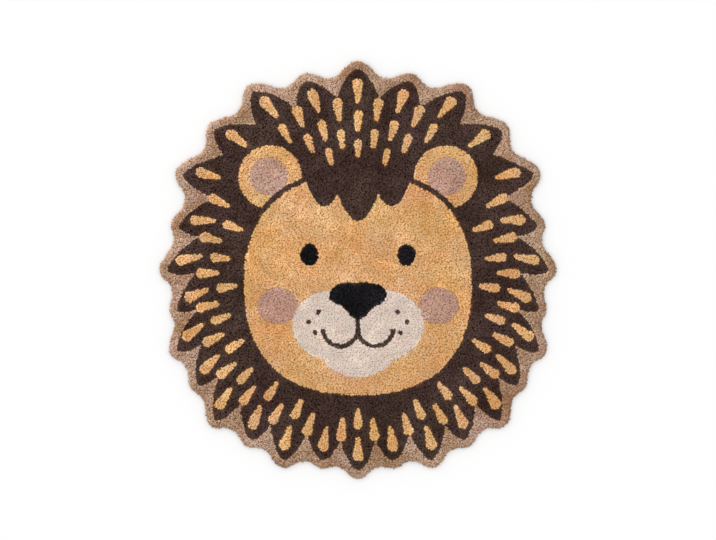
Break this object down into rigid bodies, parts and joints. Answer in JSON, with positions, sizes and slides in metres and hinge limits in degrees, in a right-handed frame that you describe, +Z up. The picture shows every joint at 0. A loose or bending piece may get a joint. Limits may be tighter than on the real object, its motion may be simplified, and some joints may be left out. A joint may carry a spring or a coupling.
{
  "type": "lion shaped kids rug",
  "caption": "Flat tufted cotton rug for a child's room, cut in the outline of a lion's head, with a dark mane of pointed locks inside a plain border and a deep rounded pile edge.",
  "frame": {"origin": "on the floor, under the middle of the rug's length and width", "axes": "+Y towards the top of the lion's head, along the rug's longest side; +X to the right seen from above; +Z up out of the pile"},
  "size_m": [1.0492, 1.1048, 0.014],
  "materials": {
    "cotton_yarn": "matt cut pile"
  },
  "bodies": {
    "root": {"rug": "cotton_yarn"}
  },
  "joints": []
}
